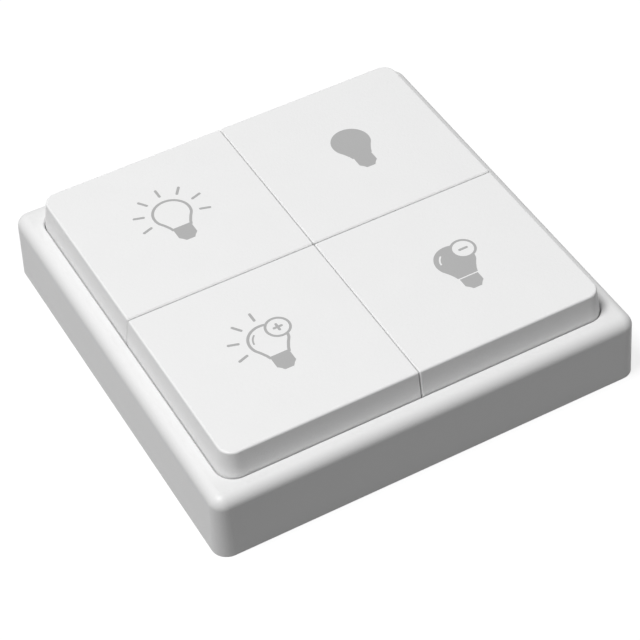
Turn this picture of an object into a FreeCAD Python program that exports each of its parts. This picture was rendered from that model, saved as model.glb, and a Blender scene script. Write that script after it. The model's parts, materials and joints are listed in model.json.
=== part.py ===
import FreeCAD, Part
import math
import os

import Sketcher

# Wireless wall switch: four hinged keys in a square frame over a battery radio module.
# It lies on its back: the origin is the middle of the back face, +Z points out of the wall
# and +Y up the wall. Sizes are in millimetres and degrees.

SIZES = [
    # keys
    ("key_rise", 4.95, "height of the keys above the frame"),
    ("key_draft", 8.1, "lean of the keys' outer sides above the frame"),
    ("key_corner", 3.2, "corner radius of the block of keys at the frame's top"),
    ("key_skirt", 2.05, "depth of the upright skirt below the frame's top"),
    ("key_wall", 1.3, "wall of a key"),
    ("key_round", 0.4, "round along a key's outer edges"),
    ("seam_break", 0.2, "bevel along a key's edges at the seams"),
    ("key_gap", 0.15, "gap between two keys"),
    ("key_drop", 1.0, "free height below the skirts for the keys' travel"),
    ("rib_thickness", 1.0, "ribs under a key's top"),
    ("rib_depth", 2.0, "depth of the ribs under a key's top"),
    # frame
    ("frame_width", 80.0, "width of the frame at the wall"),
    ("frame_gap", 0.2, "gap between the keys and the frame"),
    ("frame_border", 3.9, "width of the frame round its opening, at the wall"),
    ("frame_lip", 2.1, "thickness of the frame's top"),
    ("frame_draft", 2.2, "lean of the frame's outer sides"),
    ("frame_corner", 2.8, "corner radius of the frame at the wall"),
    ("frame_round", 2.1, "round along the frame's top outer edge"),
    ("frame_break", 0.25, "bevel along the edge of the frame's opening"),
    ("bump_length", 10.0, "length of a snap bump inside the frame"),
    ("bump_reach", 0.9, "reach of a snap bump from the frame's wall"),
    ("bump_height", 1.4, "height of a snap bump"),
    ("bump_level", 4.6, "height of the bumps' lower edge above the wall"),
    # module base
    ("slip_gap", 0.2, "clearance between one moulding and the next"),
    ("shell_corner", 2.8, "corner radius of the module base and the wall plate"),
    ("base_wall", 1.3, "side wall of the module base"),
    ("floor_thickness", 1.5, "floor of the module base"),
    ("post_height", 3.8, "board posts above the floor"),
    ("post_radius", 2.75, "radius of a board post"),
    ("post_inset", 4.0, "distance of a post's middle from the board's edges"),
    ("window_play", 0.8, "clearance of the battery window round the cell's clip"),
    # wall plate
    ("plate_thickness", 2.0, "thickness of the wall plate"),
    ("screw_slot_width", 4.0, "width of a wall-screw slot"),
    ("screw_slot_length", 7.0, "length of a wall-screw slot from end to end"),
    ("slot_rim", 3.7, "plate left between a wall-screw slot and the plate's side"),
    ("screw_head_room", 10.0, "side of the floor's opening for a wall screw's head"),
    ("tongue_land", 3.6, "floor left between a snap tongue's slot and a screw head's opening"),
    ("tongue_width", 6.0, "width of a snap tongue"),
    ("tongue_thickness", 1.2, "thickness of a snap tongue"),
    ("tongue_catch", 0.6, "reach of a snap tongue's nose"),
    ("tongue_nose", 1.0, "height of a snap tongue's nose"),
    ("tape_length", 50.0, "length of a recess for adhesive tape"),
    ("tape_width", 13.0, "width of a recess for adhesive tape"),
    ("tape_offset", 21.0, "distance of a tape recess's middle from the plate's middle"),
    ("tape_depth", 0.25, "depth of a tape recess"),
    # circuit board and what is on it
    ("board_thickness", 1.0, "thickness of the circuit board"),
    ("board_gap", 0.6, "clearance between the board's edge and a hook slot"),
    ("tact_x", 17.5, "distance of the push switches from the column seam"),
    ("press_arm", 10.0, "distance of a push switch from its key's hinge"),
    ("tact_size", 6.0, "side of a push switch"),
    ("tact_height", 3.0, "height of a push switch's housing"),
    ("stem_size", 3.0, "side of a switch plunger"),
    ("stem_rise", 1.3, "height of a switch plunger above its housing"),
    ("stem_depth", 0.8, "length of a switch plunger inside its housing"),
    ("stem_play", 0.08, "running clearance round a switch plunger"),
    ("stem_travel", 0.45, "free depth below a switch plunger"),
    ("radio_gap", 3.25, "clearance between the radio board and a board post"),
    ("radio_y", 18.0, "middle of the radio board up the wall"),
    ("radio_width", 12.0, "width of the radio board"),
    ("radio_length", 16.0, "length of the radio board"),
    ("radio_thickness", 0.8, "thickness of the radio board"),
    ("shield_margin", 1.0, "rim of the radio board round its shield"),
    ("shield_length", 9.0, "length of the radio shield"),
    ("shield_height", 1.8, "height of the radio shield"),
    ("chip_x", 15.0, "middle of the controller chip across"),
    ("chip_y", 18.0, "middle of the controller chip up the wall"),
    ("chip_size", 6.0, "side of the controller chip"),
    ("chip_height", 0.9, "height of the controller chip"),
    ("crystal_drop", 7.0, "distance of the crystal's middle below the chip's middle"),
    ("crystal_length", 3.2, "length of the crystal"),
    ("crystal_width", 2.5, "width of the crystal"),
    ("crystal_height", 0.8, "height of the crystal"),
    # battery
    ("cell_radius", 10.0, "radius of the coin cell"),
    ("cell_height", 3.2, "height of the coin cell"),
    ("cell_cap_radius", 8.6, "radius of the cell's negative cap"),
    ("cell_cap_height", 0.3, "height of the cell's negative cap"),
    ("leaf_height", 0.6, "height of the negative contact leaf"),
    ("leaf_length", 9.0, "length of the negative contact leaf"),
    ("leaf_width", 5.0, "width of the negative contact leaf"),
    ("strip_thickness", 0.25, "sheet thickness of the contacts"),
    ("clip_width", 8.0, "width of the positive clip"),
    ("clip_play", 0.4, "clearance between the cell and the clip's legs"),
    ("clip_foot", 1.8, "length of the clip's soldered feet"),
    # key carrier
    ("carrier_thickness", 1.4, "thickness of the key carrier"),
    ("carrier_inset", 0.3, "clearance between the carrier's edge and the base"),
    ("window_gap", 0.5, "clearance of a carrier window round a push switch"),
    # hinges and hooks
    ("hinge_offset", 4.0, "distance of a hinge line from the row seam"),
    ("hinge_lift", 0.2, "clearance between a hinge lug and the carrier"),
    ("lug_reach", 1.8, "reach of a hinge lug or ear round its hinge line"),
    ("lug_thickness", 2.0, "thickness of a hinge lug"),
    ("lug_inner_x", 5.0, "near face of a key's inner lug from the column seam"),
    ("lug_inset", 6.25, "far face of a key's outer lug from the key's side"),
    ("ear_gap", 0.3, "clearance between a lug and its ear"),
    ("ear_thickness", 2.0, "thickness of a hinge ear"),
    ("pin_radius", 1.0, "radius of a hinge pin"),
    ("pin_play", 0.06, "running clearance round a hinge pin"),
    ("hook_thickness", 1.4, "thickness of a key's hook"),
    ("hook_width", 4.0, "width of a key's hook"),
    ("hook_reach", 0.9, "reach of a hook's nose"),
    ("hook_nose", 1.2, "height of a hook's nose"),
    ("hook_room", 0.65, "clearance between a hook's nose and the skirt"),
    ("hook_play", 0.4, "clearance of a hook in its slot"),
    ("hook_gap", 0.1, "clearance between a hook's nose and the carrier"),
    ("hook_inner_x", 8.0, "middle of a key's inner hook from the column seam"),
    ("hook_inset", 10.25, "middle of a key's outer hook from the key's side"),
    ("presser_size", 4.0, "side of a key's presser"),
    ("press_gap", 0.08, "clearance between a presser and its plunger"),
    # screws of the carrier
    ("shank_radius", 1.0, "radius of a carrier screw"),
    ("shank_play", 0.05, "clearance of a carrier screw in its post"),
    ("head_radius", 2.0, "radius of a carrier screw's hexagon head across its corners"),
    ("head_height", 1.3, "height of a carrier screw's head"),
    ("screw_bite", 2.6, "depth of a carrier screw in its post"),
    ("screw_end", 0.4, "free depth below a carrier screw"),
]

doc = FreeCAD.newDocument("WallSwitch")
dims = doc.addObject("Spreadsheet::Sheet", "Dims")
for row, (alias, size, meaning) in enumerate(SIZES, start=1):
    dims.set(f"A{row}", meaning)
    dims.set(f"B{row}", str(size))
    dims.setAlias(f"B{row}", alias)
doc.recompute()

# Heights above the wall, from the back to the front.
PLATE_TOP = "Dims.plate_thickness"
FLOOR_TOP = f"({PLATE_TOP} + Dims.floor_thickness)"
BOARD_LOW = f"({FLOOR_TOP} + Dims.post_height)"
BOARD_TOP = f"({BOARD_LOW} + Dims.board_thickness)"
CARRIER_TOP = f"({BOARD_TOP} + Dims.carrier_thickness)"
SKIRT_LOW = f"({CARRIER_TOP} + Dims.key_drop)"
FRAME_TOP = f"({SKIRT_LOW} + Dims.key_skirt)"
LIP_LOW = f"({FRAME_TOP} - Dims.frame_lip)"
KEY_TOP = f"({FRAME_TOP} + Dims.key_rise)"
CEILING = f"({KEY_TOP} - Dims.key_wall)"
HINGE_Z = f"({CARRIER_TOP} + Dims.hinge_lift + Dims.lug_reach)"
TACT_TOP = f"({BOARD_TOP} + Dims.tact_height)"
STEM_TOP = f"({TACT_TOP} + Dims.stem_rise)"
CELL_TOP = f"({BOARD_LOW} - Dims.leaf_height)"
CELL_LOW = f"({CELL_TOP} - Dims.cell_height)"
CLIP_LOW = f"({CELL_LOW} - Dims.strip_thickness)"

# Half widths of the nested squares, from the frame inwards.
FRAME_HALF = "(Dims.frame_width / 2)"
OPENING_HALF = f"({FRAME_HALF} - Dims.frame_border)"
KEY_HALF = f"({OPENING_HALF} - Dims.frame_gap)"
BASE_HALF = f"({OPENING_HALF} + Dims.base_wall)"
FRAME_INNER_HALF = f"({BASE_HALF} + Dims.slip_gap)"
PLATE_HALF = f"({FRAME_INNER_HALF} - 2 * Dims.slip_gap)"
CARRIER_HALF = f"({OPENING_HALF} - Dims.carrier_inset)"
HOOK_OUT = f"({KEY_HALF} - Dims.key_wall - Dims.hook_room - Dims.hook_reach)"
HOOK_IN = f"({HOOK_OUT} - Dims.hook_thickness)"
BOARD_HALF = f"({HOOK_IN} - Dims.hook_play - Dims.board_gap)"
POST_AT = f"({BOARD_HALF} - Dims.post_inset)"

# Wall screws and snap tongues, from the wall plate's side inwards.
SCREW_AT = f"({PLATE_HALF} - Dims.slot_rim - Dims.screw_slot_length / 2)"
TONGUE_OUT = f"({SCREW_AT} - Dims.screw_head_room / 2 - Dims.tongue_land - Dims.slip_gap)"
TONGUE_IN = f"({TONGUE_OUT} - Dims.tongue_thickness)"

# The frame's opening follows the keys round their corners.
OPENING_CORNER = "(Dims.key_corner + Dims.frame_gap)"

TACT_Y = "(Dims.hinge_offset + Dims.press_arm)"
QUADRANTS = [("on", "-", ""), ("off", "", ""), ("brighter", "-", "-"), ("dimmer", "", "-")]
CORNERS = [(sign_x, sign_y) for _, sign_x, sign_y in QUADRANTS]

# Points closer than this count as one level when edges and faces are picked.
NEAR = 1e-4

parts = {}


def amount(formula):
    """The present value of a formula over the sheet."""
    return float(dims.evalExpression(formula))


def new_body(label):
    body = doc.addObject("PartDesign::Body", label)
    body.Label = label
    parts[label] = body
    return body


def origin_feature(body, role):
    return next(item for item in body.Origin.OriginFeatures if item.Role == role)


def new_sketch(body, name, level="0", role="XY_Plane"):
    """A sketch on one of the body's own planes, moved along the plane's normal to a level."""
    sketch = body.newObject("Sketcher::SketchObject", name)
    sketch.AttachmentSupport = (origin_feature(body, role), [""])
    sketch.MapMode = "FlatFace"
    sketch.setExpression("AttachmentOffset.Base.z", level)
    return sketch


def drive(sketch, formula, *constraint):
    """A dimension of a sketch that follows a formula."""
    index = sketch.addConstraint(Sketcher.Constraint(*constraint, amount(formula)))
    name = f"size_{index}"
    sketch.renameConstraint(index, name)
    sketch.setExpression(f"Constraints.{name}", formula)


def pin_point(sketch, geometry, end, across, along):
    """Holds one point of a sketch at a place given by two formulas."""
    drive(sketch, across, "DistanceX", -1, 1, geometry, end)
    drive(sketch, along, "DistanceY", -1, 1, geometry, end)


def draw_polygon(sketch, corners):
    """A closed outline of straight lines through corners given by formulas."""
    points = [FreeCAD.Vector(amount(across), amount(along), 0) for across, along in corners]
    first = sketch.GeometryCount
    count = len(points)
    for index, start in enumerate(points):
        sketch.addGeometry(Part.LineSegment(start, points[(index + 1) % count]))
    for index, (across, along) in enumerate(corners):
        sketch.addConstraint(Sketcher.Constraint(
            "Coincident", first + index, 1, first + (index - 1) % count, 2))
        pin_point(sketch, first + index, 1, across, along)


def draw_box(sketch, left, right, low, high):
    draw_polygon(sketch, [(left, low), (right, low), (right, high), (left, high)])


def draw_circle(sketch, across, along, radius):
    centre = FreeCAD.Vector(amount(across), amount(along), 0)
    index = sketch.addGeometry(Part.Circle(centre, FreeCAD.Vector(0, 0, 1), amount(radius)))
    drive(sketch, radius, "Radius", index)
    pin_point(sketch, index, 3, across, along)


def draw_rounded_box(sketch, left, right, low, high, radius):
    """A box outline whose four corners are arcs of one radius."""
    x0, x1, y0, y1 = amount(left), amount(right), amount(low), amount(high)
    r = amount(radius)
    turn = FreeCAD.Vector(0, 0, 1)
    first = sketch.GeometryCount
    ends = [((x0 + r, y0), (x1 - r, y0)), ((x1, y0 + r), (x1, y1 - r)),
            ((x1 - r, y1), (x0 + r, y1)), ((x0, y1 - r), (x0, y0 + r))]
    middles = [(x1 - r, y0 + r), (x1 - r, y1 - r), (x0 + r, y1 - r), (x0 + r, y0 + r)]
    for side in range(4):
        start, end = [FreeCAD.Vector(*point, 0) for point in ends[side]]
        sketch.addGeometry(Part.LineSegment(start, end))
    for corner in range(4):
        circle = Part.Circle(FreeCAD.Vector(*middles[corner], 0), turn, r)
        sketch.addGeometry(Part.ArcOfCircle(circle, math.pi / 2 * (corner - 1), math.pi / 2 * corner))
    for side in range(4):
        line, arc, next_line = first + side, first + 4 + side, first + (side + 1) % 4
        sketch.addConstraint(Sketcher.Constraint("Tangent", line, 2, arc, 1))
        sketch.addConstraint(Sketcher.Constraint("Tangent", arc, 2, next_line, 1))
        sketch.addConstraint(Sketcher.Constraint("Vertical" if side % 2 else "Horizontal", line))
        if side:
            sketch.addConstraint(Sketcher.Constraint("Equal", first + 4, arc))
    drive(sketch, radius, "Radius", first + 4)
    drive(sketch, low, "DistanceY", -1, 1, first, 1)
    drive(sketch, right, "DistanceX", -1, 1, first + 1, 1)
    drive(sketch, high, "DistanceY", -1, 1, first + 2, 1)
    drive(sketch, left, "DistanceX", -1, 1, first + 3, 1)


def draw_slot(sketch, middle, length, width):
    """A slot with round ends along the sketch's first axis."""
    x, r = amount(middle), amount(width) / 2
    reach = amount(length) / 2 - r
    first = sketch.GeometryCount
    for side in (1, -1):
        begin = FreeCAD.Vector(x - side * reach, -side * r, 0)
        end = FreeCAD.Vector(x + side * reach, -side * r, 0)
        sketch.addGeometry(Part.LineSegment(begin, end))
        circle = Part.Circle(FreeCAD.Vector(x + side * reach, 0, 0), FreeCAD.Vector(0, 0, 1), r)
        angle = -side * math.pi / 2
        sketch.addGeometry(Part.ArcOfCircle(circle, angle, angle + math.pi))
    for index in range(4):
        following = first + (index + 1) % 4
        sketch.addConstraint(Sketcher.Constraint("Tangent", first + index, 2, following, 1))
    sketch.addConstraint(Sketcher.Constraint("Equal", first + 1, first + 3))
    drive(sketch, f"{width} / 2", "Radius", first + 1)
    pin_point(sketch, first + 1, 3, f"{middle} + ({length} - {width}) / 2", "0")
    pin_point(sketch, first + 3, 3, f"{middle} - ({length} - {width}) / 2", "0")


def draw_rounded_square(sketch, half, radius):
    draw_rounded_box(sketch, f"-{half}", half, f"-{half}", half, radius)


def extrude(kind, sketch, length, upwards=True, taper=None):
    """A pad or pocket of a sketch along its normal; a pocket must take material away."""
    body = sketch.getParentGeoFeatureGroup()
    before = body.Shape.Volume if body.Tip else 0
    feature = body.newObject(f"PartDesign::{kind}", f"{kind}_{sketch.Name}")
    feature.Profile = sketch
    feature.setExpression("Length", length)
    feature.Reversed = upwards if kind == "Pocket" else not upwards
    if taper:
        feature.setExpression("TaperAngle", taper)
    doc.recompute()
    change = body.Shape.Volume - before
    if (change < 0) != (kind == "Pocket"):
        raise RuntimeError(f"{feature.Name} changes the volume by {change:.3f}")
    return feature


def pad(sketch, length, upwards=True, taper=None):
    return extrude("Pad", sketch, length, upwards, taper)


def pocket(sketch, length, upwards=True, taper=None):
    return extrude("Pocket", sketch, length, upwards, taper)


def dress_edges(kind, property_name, body, name, size, wanted):
    """A dress-up feature along every edge of the body's last feature that the test picks."""
    base = body.Tip
    names = [f"Edge{index}" for index, edge in enumerate(base.Shape.Edges, start=1) if wanted(edge)]
    feature = body.newObject(f"PartDesign::{kind}", name)
    feature.Base = (base, names)
    feature.setExpression(property_name, size)
    doc.recompute()


def fillet(body, name, radius, wanted):
    dress_edges("Fillet", "Radius", body, name, radius, wanted)


def bevel(body, name, size, wanted):
    dress_edges("Chamfer", "Size", body, name, size, wanted)


def polar_copies(body, name, originals, count):
    """Copies of features round the body's Z axis."""
    feature = body.newObject("PartDesign::PolarPattern", name)
    feature.Originals = originals
    feature.Axis = (origin_feature(body, "Z_Axis"), [""])
    feature.Angle = 360
    feature.Occurrences = count
    body.Tip = feature
    doc.recompute()
    return feature


def lies_at(shape, level):
    """True where every point of an edge or a face lies at one height."""
    box = shape.BoundBox
    return abs(box.ZMin - level) < NEAR and abs(box.ZMax - level) < NEAR


def build_wall_plate():
    body = new_body("wall_plate")
    outline = new_sketch(body, "plate_outline")
    draw_rounded_square(outline, PLATE_HALF, "Dims.shell_corner")
    pad(outline, "Dims.plate_thickness")

    slots = new_sketch(body, "plate_slots")
    for sign in ("-", ""):
        draw_slot(slots, sign + SCREW_AT, "Dims.screw_slot_length", "Dims.screw_slot_width")
    pocket(slots, "Dims.plate_thickness")

    tape = new_sketch(body, "plate_tape_recesses")
    reach = "Dims.tape_length / 2"
    for sign in ("-", ""):
        middle = f"{sign}Dims.tape_offset"
        draw_box(tape, f"-{reach}", reach, f"{middle} - Dims.tape_width / 2",
                 f"{middle} + Dims.tape_width / 2")
    pocket(tape, "Dims.tape_depth")

    # A tongue is an L with its nose over the module's floor.
    nose_low = f"({FLOOR_TOP} + Dims.slip_gap / 2)"
    nose_top = f"({nose_low} + Dims.tongue_nose)"
    tongue = new_sketch(body, "plate_tongue", "-Dims.tongue_width / 2", "YZ_Plane")
    draw_polygon(tongue, [(TONGUE_IN, PLATE_TOP), (TONGUE_OUT, PLATE_TOP), (TONGUE_OUT, nose_low),
                          (f"{TONGUE_OUT} + Dims.tongue_catch", nose_low), (TONGUE_OUT, nose_top),
                          (TONGUE_IN, nose_top)])
    polar_copies(body, "plate_tongues", [pad(tongue, "Dims.tongue_width")], 4)


def inner_rim(edge, level):
    """True for the edges of the frame's opening at one height."""
    box = edge.BoundBox
    reach = max(abs(box.XMin), abs(box.XMax), abs(box.YMin), abs(box.YMax))
    return lies_at(edge, level) and reach < amount(OPENING_HALF) + NEAR


def build_frame():
    body = new_body("frame")
    outline = new_sketch(body, "frame_outline")
    draw_rounded_square(outline, FRAME_HALF, "Dims.frame_corner")
    pad(outline, FRAME_TOP, taper="-Dims.frame_draft")
    top = amount(FRAME_TOP)
    fillet(body, "frame_top_round", "Dims.frame_round", lambda edge: lies_at(edge, top))

    opening = new_sketch(body, "frame_opening")
    draw_rounded_square(opening, OPENING_HALF, OPENING_CORNER)
    pocket(opening, FRAME_TOP)
    bevel(body, "frame_opening_break", "Dims.frame_break", lambda edge: inner_rim(edge, top))
    cavity = new_sketch(body, "frame_cavity")
    draw_rounded_square(cavity, FRAME_INNER_HALF, "(Dims.shell_corner + Dims.slip_gap)")
    pocket(cavity, LIP_LOW)

    # Snap bumps inside the four walls catch in windows of the module base.
    wall = FRAME_INNER_HALF
    tip = f"({wall} - Dims.bump_reach)"
    bump = new_sketch(body, "frame_bump", "-Dims.bump_length / 2", "YZ_Plane")
    draw_polygon(bump, [(f"{wall} + Dims.slip_gap", "Dims.bump_level"), (wall, "Dims.bump_level"),
                        (tip, "Dims.bump_level + Dims.bump_height / 2"),
                        (tip, "Dims.bump_level + Dims.bump_height"),
                        (f"{wall} + Dims.slip_gap", "Dims.bump_level + Dims.bump_height")])
    polar_copies(body, "frame_bumps", [pad(bump, "Dims.bump_length")], 4)


def build_module_base():
    body = new_body("module_base")
    outline = new_sketch(body, "base_outline", PLATE_TOP)
    draw_rounded_square(outline, BASE_HALF, "Dims.shell_corner")
    pad(outline, f"{LIP_LOW} - {PLATE_TOP}")
    hollow = new_sketch(body, "base_hollow", FLOOR_TOP)
    draw_rounded_square(hollow, OPENING_HALF, OPENING_CORNER)
    pocket(hollow, f"{LIP_LOW} - {FLOOR_TOP}")

    posts = new_sketch(body, "base_posts", FLOOR_TOP)
    for sign_x, sign_y in CORNERS:
        draw_circle(posts, sign_x + POST_AT, sign_y + POST_AT, "Dims.post_radius")
    pad(posts, "Dims.post_height")
    bores = new_sketch(body, "base_bores", BOARD_LOW)
    for sign_x, sign_y in CORNERS:
        draw_circle(bores, sign_x + POST_AT, sign_y + POST_AT, "Dims.shank_radius + Dims.shank_play")
    pocket(bores, "Dims.screw_bite + Dims.screw_end", upwards=False)

    battery = new_sketch(body, "base_battery_window", PLATE_TOP)
    half = "(Dims.cell_radius + Dims.clip_play + Dims.strip_thickness + Dims.window_play)"
    draw_box(battery, f"-{half}", half, f"-{half}", half)
    pocket(battery, "Dims.floor_thickness")
    heads = new_sketch(body, "base_screw_heads", PLATE_TOP)
    half = "Dims.screw_head_room / 2"
    for sign in ("-", ""):
        middle = sign + SCREW_AT
        draw_box(heads, f"{middle} - {half}", f"{middle} + {half}", f"-{half}", half)
    pocket(heads, "Dims.floor_thickness")

    # Slots for the wall plate's tongues, as wide as a tongue and its nose on its way in.
    slot = new_sketch(body, "base_tongue_slot", PLATE_TOP)
    draw_box(slot, "-Dims.tongue_width / 2 - Dims.slip_gap", "Dims.tongue_width / 2 + Dims.slip_gap",
             f"{TONGUE_IN} - Dims.tongue_catch - Dims.slip_gap", f"{TONGUE_OUT} + Dims.slip_gap")
    polar_copies(body, "base_tongue_slots", [pocket(slot, "Dims.floor_thickness")], 4)

    # Windows in the side walls for the frame's bumps.
    window = new_sketch(body, "base_bump_window", "-Dims.bump_length / 2 - Dims.slip_gap", "YZ_Plane")
    draw_box(window, f"{OPENING_HALF} - Dims.slip_gap", f"{BASE_HALF} + Dims.slip_gap",
             "Dims.bump_level - Dims.slip_gap", "Dims.bump_level + Dims.bump_height + Dims.slip_gap")
    polar_copies(body, "base_bump_windows", [pocket(window, "Dims.bump_length + 2 * Dims.slip_gap")], 4)


def build_circuit_board():
    body = new_body("circuit_board")
    outline = new_sketch(body, "board_outline", BOARD_LOW)
    draw_box(outline, f"-{BOARD_HALF}", BOARD_HALF, f"-{BOARD_HALF}", BOARD_HALF)
    pad(outline, "Dims.board_thickness")
    # Notches open to the board's sides let it drop in over the posts beside the screws.
    notches = new_sketch(body, "board_notches", BOARD_LOW)
    half = "(Dims.shank_radius + Dims.slip_gap)"
    for sign_x, sign_y in CORNERS:
        draw_box(notches, f"{sign_x}({POST_AT} - {half})", sign_x + CARRIER_HALF,
                 f"{sign_y}{POST_AT} - {half}", f"{sign_y}{POST_AT} + {half}")
    pocket(notches, "Dims.board_thickness")


def build_block(label, across, along, width, length, low, height):
    """A flat cuboid component, given by its middle, its sides and its lower face."""
    block = doc.addObject("Part::Box", label)
    block.Label = label
    block.setExpression("Length", width)
    block.setExpression("Width", length)
    block.setExpression("Height", height)
    block.setExpression("Placement.Base.x", f"{across} - {width} / 2")
    block.setExpression("Placement.Base.y", f"{along} - {length} / 2")
    block.setExpression("Placement.Base.z", low)
    parts[label] = block


def build_components():
    """The parts soldered under the board."""
    radio_x = f"(Dims.post_radius + Dims.radio_gap + Dims.radio_width / 2 - {POST_AT})"
    build_block("radio_board", radio_x, "Dims.radio_y", "Dims.radio_width",
                "Dims.radio_length", f"{BOARD_LOW} - Dims.radio_thickness", "Dims.radio_thickness")
    build_block("radio_shield", radio_x,
                "(Dims.radio_y - Dims.radio_length / 2 + Dims.shield_margin + Dims.shield_length / 2)",
                "(Dims.radio_width - 2 * Dims.shield_margin)", "Dims.shield_length",
                f"{BOARD_LOW} - Dims.radio_thickness - Dims.shield_height", "Dims.shield_height")
    build_block("controller_chip", "Dims.chip_x", "Dims.chip_y", "Dims.chip_size", "Dims.chip_size",
                f"{BOARD_LOW} - Dims.chip_height", "Dims.chip_height")
    build_block("crystal", "Dims.chip_x", "(Dims.chip_y - Dims.crystal_drop)", "Dims.crystal_length",
                "Dims.crystal_width", f"{BOARD_LOW} - Dims.crystal_height", "Dims.crystal_height")


def build_battery():
    cell = new_body("coin_cell")
    can = new_sketch(cell, "cell_can", CELL_LOW)
    draw_circle(can, "0", "0", "Dims.cell_radius")
    pad(can, "Dims.cell_height - Dims.cell_cap_height")
    cap = new_sketch(cell, "cell_cap", f"{CELL_TOP} - Dims.cell_cap_height")
    draw_circle(cap, "0", "0", "Dims.cell_cap_radius")
    pad(cap, "Dims.cell_cap_height")

    # The positive clip passes under the cell and is soldered to the board at both feet.
    clip = new_body("battery_clip")
    strap = new_sketch(clip, "clip_strap", "-Dims.clip_width / 2", "XZ_Plane")
    inner = "(Dims.cell_radius + Dims.clip_play)"
    outer = f"({inner} + Dims.strip_thickness)"
    foot = f"({outer} + Dims.clip_foot)"
    foot_low = f"({BOARD_LOW} - Dims.strip_thickness)"
    half = [(inner, CELL_LOW), (inner, BOARD_LOW), (foot, BOARD_LOW), (foot, foot_low),
            (outer, foot_low), (outer, CLIP_LOW)]
    mirrored = [(f"-{across}", along) for across, along in reversed(half)]
    draw_polygon(strap, half + mirrored)
    pad(strap, "Dims.clip_width")

    # The negative leaf is bowed between the board and the cell's cap.
    leaf = new_body("negative_contact")
    bow = new_sketch(leaf, "leaf_bow", "-Dims.leaf_width / 2", "XZ_Plane")
    end = "(Dims.leaf_length / 2)"
    draw_polygon(bow, [(f"-{end}", BOARD_LOW), (f"-{end}", f"{BOARD_LOW} - Dims.strip_thickness"),
                       (f"-{end} / 3", CELL_TOP), (f"{end} / 3", CELL_TOP),
                       (end, f"{BOARD_LOW} - Dims.strip_thickness"), (end, BOARD_LOW),
                       (f"{end} / 3", f"{CELL_TOP} + Dims.strip_thickness"),
                       (f"-{end} / 3", f"{CELL_TOP} + Dims.strip_thickness")])
    pad(bow, "Dims.leaf_width")


def build_push_switches():
    """A housing and a sliding plunger under each key."""
    side = "Dims.tact_size / 2"
    well_side = "(Dims.stem_size / 2 + Dims.stem_play)"
    for key, sign_x, sign_y in QUADRANTS:
        across = f"{sign_x}Dims.tact_x"
        along = f"{sign_y}{TACT_Y}"
        housing = new_body(f"tact_body_{key}")
        square = new_sketch(housing, f"tact_square_{key}", BOARD_TOP)
        draw_box(square, f"{across} - {side}", f"{across} + {side}",
                 f"{along} - {side}", f"{along} + {side}")
        pad(square, "Dims.tact_height")
        well = new_sketch(housing, f"tact_well_{key}", TACT_TOP)
        draw_box(well, f"{across} - {well_side}", f"{across} + {well_side}",
                 f"{along} - {well_side}", f"{along} + {well_side}")
        pocket(well, "Dims.stem_depth + Dims.stem_travel", upwards=False)
        build_block(f"tact_plunger_{key}", across, along, "Dims.stem_size", "Dims.stem_size",
                    f"{TACT_TOP} - Dims.stem_depth", "Dims.stem_depth + Dims.stem_rise")


def draw_hinge_tab(sketch, along, root, end):
    """A tab across a hinge line, from its root to a narrower end."""
    reach = "Dims.lug_reach"
    draw_polygon(sketch, [(f"{along} - {reach}", root), (f"{along} + {reach}", root),
                          (f"{along} + {reach}", HINGE_Z), (f"{along} + {reach} / 2", end),
                          (f"{along} - {reach} / 2", end), (f"{along} - {reach}", HINGE_Z)])


# Faces of a key's two lugs and of the ears between them, from the column seam outwards.
INNER_LUG = ("Dims.lug_inner_x", "(Dims.lug_inner_x + Dims.lug_thickness)")
OUTER_LUG = (f"({KEY_HALF} - Dims.lug_inset - Dims.lug_thickness)", f"({KEY_HALF} - Dims.lug_inset)")
INNER_EAR = f"({INNER_LUG[1]} + Dims.ear_gap)"
OUTER_EAR = f"({OUTER_LUG[0]} - Dims.ear_gap - Dims.ear_thickness)"
PIN_LENGTH = "(Dims.ear_gap + Dims.ear_thickness)"

# Middles of a key's two hooks from the column seam.
HOOKS = [("inner", "Dims.hook_inner_x"), ("outer", f"({KEY_HALF} - Dims.hook_inset)")]


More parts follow.
